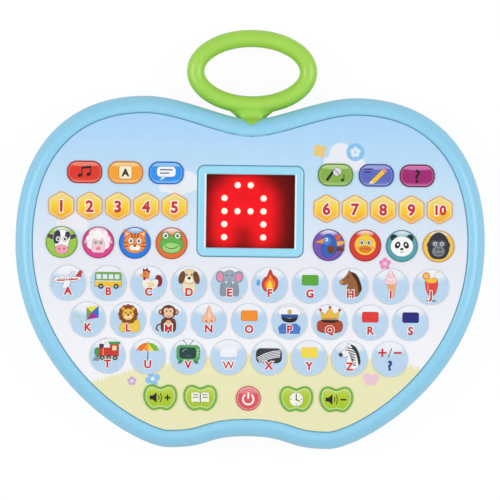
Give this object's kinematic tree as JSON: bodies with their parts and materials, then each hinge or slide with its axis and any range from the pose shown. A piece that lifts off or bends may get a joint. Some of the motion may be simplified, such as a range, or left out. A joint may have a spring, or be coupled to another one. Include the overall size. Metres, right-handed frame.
{
  "type": "toy learning computer",
  "caption": "Flat apple-shaped toy learning computer: a sprung keypad under a printed panel, a lamp-matrix display, a loudspeaker, a battery bay and an oval carrying handle.",
  "frame": {"origin": "under the middle of the footprint, on the surface that the rubber feet stand on", "axes": "+X to the right of the panel, +Y towards the carrying handle, +Z out of the keys; the toy lies on its back"},
  "size_m": [0.24, 0.2142, 0.028],
  "materials": {
    "case_blue": "glossy moulded plastic, sky blue",
    "handle_green": "glossy moulded plastic, apple green",
    "printed_panel": "printed film with a satin sheen",
    "contact_film": "clear-amber film on foam",
    "red_window": "polished red tinted plastic",
    "lamp_board": "dark circuit board",
    "lamp": "clear lamp resin",
    "main_board": "green circuit board",
    "speaker_steel": "plated steel basket and magnet",
    "speaker_paper": "pressed paper cone",
    "cell_jacket": "plain cell jacket",
    "contact_plate": "nickel-plated spring steel",
    "screw_steel": "zinc-plated steel",
    "foot_rubber": "matt rubber",
    "wire_cover": "soft plastic insulation",
    "letter_key": "printed film, pale blue",
    "number_key": "printed film, yellow",
    "animal_key": "printed film in several colours",
    "music_key": "printed film, red",
    "letter_key_mode": "printed film, orange",
    "word_key": "printed film, blue",
    "singing_key": "printed film, green",
    "spell_key": "printed film, violet",
    "asking_key": "printed film, magenta",
    "apple_key": "printed film, apple green",
    "power_key": "printed film, red"
  },
  "bodies": {
    "case": {"front_shell": "case_blue", "rear_shell": "case_blue", "carry_handle": "handle_green", "panel_overlay": "printed_panel", "keypad_membrane": "contact_film", "display_window": "red_window", "display_board": "lamp_board", "display_lamps": "lamp", "main_board": "main_board", "speaker_frame": "speaker_steel", "batteries": "cell_jacket", "battery_contacts": "contact_plate", "housing_screws": "screw_steel", "rubber_feet": "foot_rubber", "wire_harness": "wire_cover"},
    "door": {"battery_door": "case_blue", "battery_door_screws": "screw_steel"},
    "cone": {"speaker_cone": "speaker_paper"},
    "number_keys_left": {"number_keys_left": "number_key"},
    "number_keys_right": {"number_keys_right": "number_key"},
    "animal_keys_left": {"animal_keys_left": "animal_key"},
    "animal_keys_right": {"animal_keys_right": "animal_key"},
    "key_a": {"key_a": "letter_key"},
    "key_b": {"key_b": "letter_key"},
    "key_c": {"key_c": "letter_key"},
    "key_d": {"key_d": "letter_key"},
    "key_e": {"key_e": "letter_key"},
    "key_f": {"key_f": "letter_key"},
    "key_g": {"key_g": "letter_key"},
    "key_h": {"key_h": "letter_key"},
    "key_i": {"key_i": "letter_key"},
    "key_j": {"key_j": "letter_key"},
    "key_k": {"key_k": "letter_key"},
    "key_l": {"key_l": "letter_key"},
    "key_m": {"key_m": "letter_key"},
    "key_n": {"key_n": "letter_key"},
    "key_o": {"key_o": "letter_key"},
    "key_p": {"key_p": "letter_key"},
    "key_q": {"key_q": "letter_key"},
    "key_r": {"key_r": "letter_key"},
    "key_s": {"key_s": "letter_key"},
    "key_t": {"key_t": "letter_key"},
    "key_u": {"key_u": "letter_key"},
    "key_v": {"key_v": "letter_key"},
    "key_w": {"key_w": "letter_key"},
    "key_x": {"key_x": "letter_key"},
    "key_y": {"key_y": "letter_key"},
    "key_z": {"key_z": "letter_key"},
    "key_plus_minus": {"key_plus_minus": "letter_key"},
    "key_music": {"key_music": "music_key"},
    "key_letter": {"key_letter": "letter_key_mode"},
    "key_word": {"key_word": "word_key"},
    "key_singing": {"key_singing": "singing_key"},
    "key_spell": {"key_spell": "spell_key"},
    "key_asking": {"key_asking": "asking_key"},
    "key_volume_up": {"key_volume_up": "apple_key"},
    "key_story": {"key_story": "apple_key"},
    "key_habit": {"key_habit": "apple_key"},
    "key_volume_down": {"key_volume_down": "apple_key"},
    "key_power": {"key_power": "power_key"}
  },
  "joints": [
    {"name": "number_keys_left_press", "type": "slide", "parent": "case", "child": "number_keys_left", "axis": [0, 0, -1], "range_m": [0, 0.0005], "stiffness_N_per_m": 1500},
    {"name": "number_keys_right_press", "type": "slide", "parent": "case", "child": "number_keys_right", "axis": [0, 0, -1], "range_m": [0, 0.0005], "stiffness_N_per_m": 1500},
    {"name": "animal_keys_left_press", "type": "slide", "parent": "case", "child": "animal_keys_left", "axis": [0, 0, -1], "range_m": [0, 0.0005], "stiffness_N_per_m": 1500},
    {"name": "animal_keys_right_press", "type": "slide", "parent": "case", "child": "animal_keys_right", "axis": [0, 0, -1], "range_m": [0, 0.0005], "stiffness_N_per_m": 1500},
    {"name": "key_a_press", "type": "slide", "parent": "case", "child": "key_a", "axis": [0, 0, -1], "range_m": [0, 0.0005], "stiffness_N_per_m": 500},
    {"name": "key_b_press", "type": "slide", "parent": "case", "child": "key_b", "axis": [0, 0, -1], "range_m": [0, 0.0005], "stiffness_N_per_m": 500},
    {"name": "key_c_press", "type": "slide", "parent": "case", "child": "key_c", "axis": [0, 0, -1], "range_m": [0, 0.0005], "stiffness_N_per_m": 500},
    {"name": "key_d_press", "type": "slide", "parent": "case", "child": "key_d", "axis": [0, 0, -1], "range_m": [0, 0.0005], "stiffness_N_per_m": 500},
    {"name": "key_e_press", "type": "slide", "parent": "case", "child": "key_e", "axis": [0, 0, -1], "range_m": [0, 0.0005], "stiffness_N_per_m": 500},
    {"name": "key_f_press", "type": "slide", "parent": "case", "child": "key_f", "axis": [0, 0, -1], "range_m": [0, 0.0005], "stiffness_N_per_m": 500},
    {"name": "key_g_press", "type": "slide", "parent": "case", "child": "key_g", "axis": [0, 0, -1], "range_m": [0, 0.0005], "stiffness_N_per_m": 500},
    {"name": "key_h_press", "type": "slide", "parent": "case", "child": "key_h", "axis": [0, 0, -1], "range_m": [0, 0.0005], "stiffness_N_per_m": 500},
    {"name": "key_i_press", "type": "slide", "parent": "case", "child": "key_i", "axis": [0, 0, -1], "range_m": [0, 0.0005], "stiffness_N_per_m": 500},
    {"name": "key_j_press", "type": "slide", "parent": "case", "child": "key_j", "axis": [0, 0, -1], "range_m": [0, 0.0005], "stiffness_N_per_m": 500},
    {"name": "key_k_press", "type": "slide", "parent": "case", "child": "key_k", "axis": [0, 0, -1], "range_m": [0, 0.0005], "stiffness_N_per_m": 500},
    {"name": "key_l_press", "type": "slide", "parent": "case", "child": "key_l", "axis": [0, 0, -1], "range_m": [0, 0.0005], "stiffness_N_per_m": 500},
    {"name": "key_m_press", "type": "slide", "parent": "case", "child": "key_m", "axis": [0, 0, -1], "range_m": [0, 0.0005], "stiffness_N_per_m": 500},
    {"name": "key_n_press", "type": "slide", "parent": "case", "child": "key_n", "axis": [0, 0, -1], "range_m": [0, 0.0005], "stiffness_N_per_m": 500},
    {"name": "key_o_press", "type": "slide", "parent": "case", "child": "key_o", "axis": [0, 0, -1], "range_m": [0, 0.0005], "stiffness_N_per_m": 500},
    {"name": "key_p_press", "type": "slide", "parent": "case", "child": "key_p", "axis": [0, 0, -1], "range_m": [0, 0.0005], "stiffness_N_per_m": 500},
    {"name": "key_q_press", "type": "slide", "parent": "case", "child": "key_q", "axis": [0, 0, -1], "range_m": [0, 0.0005], "stiffness_N_per_m": 500},
    {"name": "key_r_press", "type": "slide", "parent": "case", "child": "key_r", "axis": [0, 0, -1], "range_m": [0, 0.0005], "stiffness_N_per_m": 500},
    {"name": "key_s_press", "type": "slide", "parent": "case", "child": "key_s", "axis": [0, 0, -1], "range_m": [0, 0.0005], "stiffness_N_per_m": 500},
    {"name": "key_t_press", "type": "slide", "parent": "case", "child": "key_t", "axis": [0, 0, -1], "range_m": [0, 0.0005], "stiffness_N_per_m": 500},
    {"name": "key_u_press", "type": "slide", "parent": "case", "child": "key_u", "axis": [0, 0, -1], "range_m": [0, 0.0005], "stiffness_N_per_m": 500},
    {"name": "key_v_press", "type": "slide", "parent": "case", "child": "key_v", "axis": [0, 0, -1], "range_m": [0, 0.0005], "stiffness_N_per_m": 500},
    {"name": "key_w_press", "type": "slide", "parent": "case", "child": "key_w", "axis": [0, 0, -1], "range_m": [0, 0.0005], "stiffness_N_per_m": 500},
    {"name": "key_x_press", "type": "slide", "parent": "case", "child": "key_x", "axis": [0, 0, -1], "range_m": [0, 0.0005], "stiffness_N_per_m": 500},
    {"name": "key_y_press", "type": "slide", "parent": "case", "child": "key_y", "axis": [0, 0, -1], "range_m": [0, 0.0005], "stiffness_N_per_m": 500},
    {"name": "key_z_press", "type": "slide", "parent": "case", "child": "key_z", "axis": [0, 0, -1], "range_m": [0, 0.0005], "stiffness_N_per_m": 500},
    {"name": "key_plus_minus_press", "type": "slide", "parent": "case", "child": "key_plus_minus", "axis": [0, 0, -1], "range_m": [0, 0.0005], "stiffness_N_per_m": 500},
    {"name": "key_music_press", "type": "slide", "parent": "case", "child": "key_music", "axis": [0, 0, -1], "range_m": [0, 0.0005], "stiffness_N_per_m": 500},
    {"name": "key_letter_press", "type": "slide", "parent": "case", "child": "key_letter", "axis": [0, 0, -1], "range_m": [0, 0.0005], "stiffness_N_per_m": 500},
    {"name": "key_word_press", "type": "slide", "parent": "case", "child": "key_word", "axis": [0, 0, -1], "range_m": [0, 0.0005], "stiffness_N_per_m": 500},
    {"name": "key_singing_press", "type": "slide", "parent": "case", "child": "key_singing", "axis": [0, 0, -1], "range_m": [0, 0.0005], "stiffness_N_per_m": 500},
    {"name": "key_spell_press", "type": "slide", "parent": "case", "child": "key_spell", "axis": [0, 0, -1], "range_m": [0, 0.0005], "stiffness_N_per_m": 500},
    {"name": "key_asking_press", "type": "slide", "parent": "case", "child": "key_asking", "axis": [0, 0, -1], "range_m": [0, 0.0005], "stiffness_N_per_m": 500},
    {"name": "key_volume_up_press", "type": "slide", "parent": "case", "child": "key_volume_up", "axis": [0, 0, -1], "range_m": [0, 0.0005], "stiffness_N_per_m": 500},
    {"name": "key_story_press", "type": "slide", "parent": "case", "child": "key_story", "axis": [0, 0, -1], "range_m": [0, 0.0005], "stiffness_N_per_m": 500},
    {"name": "key_habit_press", "type": "slide", "parent": "case", "child": "key_habit", "axis": [0, 0, -1], "range_m": [0, 0.0005], "stiffness_N_per_m": 500},
    {"name": "key_volume_down_press", "type": "slide", "parent": "case", "child": "key_volume_down", "axis": [0, 0, -1], "range_m": [0, 0.0005], "stiffness_N_per_m": 500},
    {"name": "key_power_press", "type": "slide", "parent": "case", "child": "key_power", "axis": [0, 0, -1], "range_m": [0, 0.0005], "stiffness_N_per_m": 500},
    {"name": "battery_door_lift", "type": "slide", "parent": "case", "child": "door", "axis": [0, 0, -1], "range_m": [0, 0.03]},
    {"name": "speaker_cone_travel", "type": "slide", "parent": "case", "child": "cone", "axis": [0, 0, 1], "range_m": [-0.0003, 0.0003], "stiffness_N_per_m": 500}
  ]
}
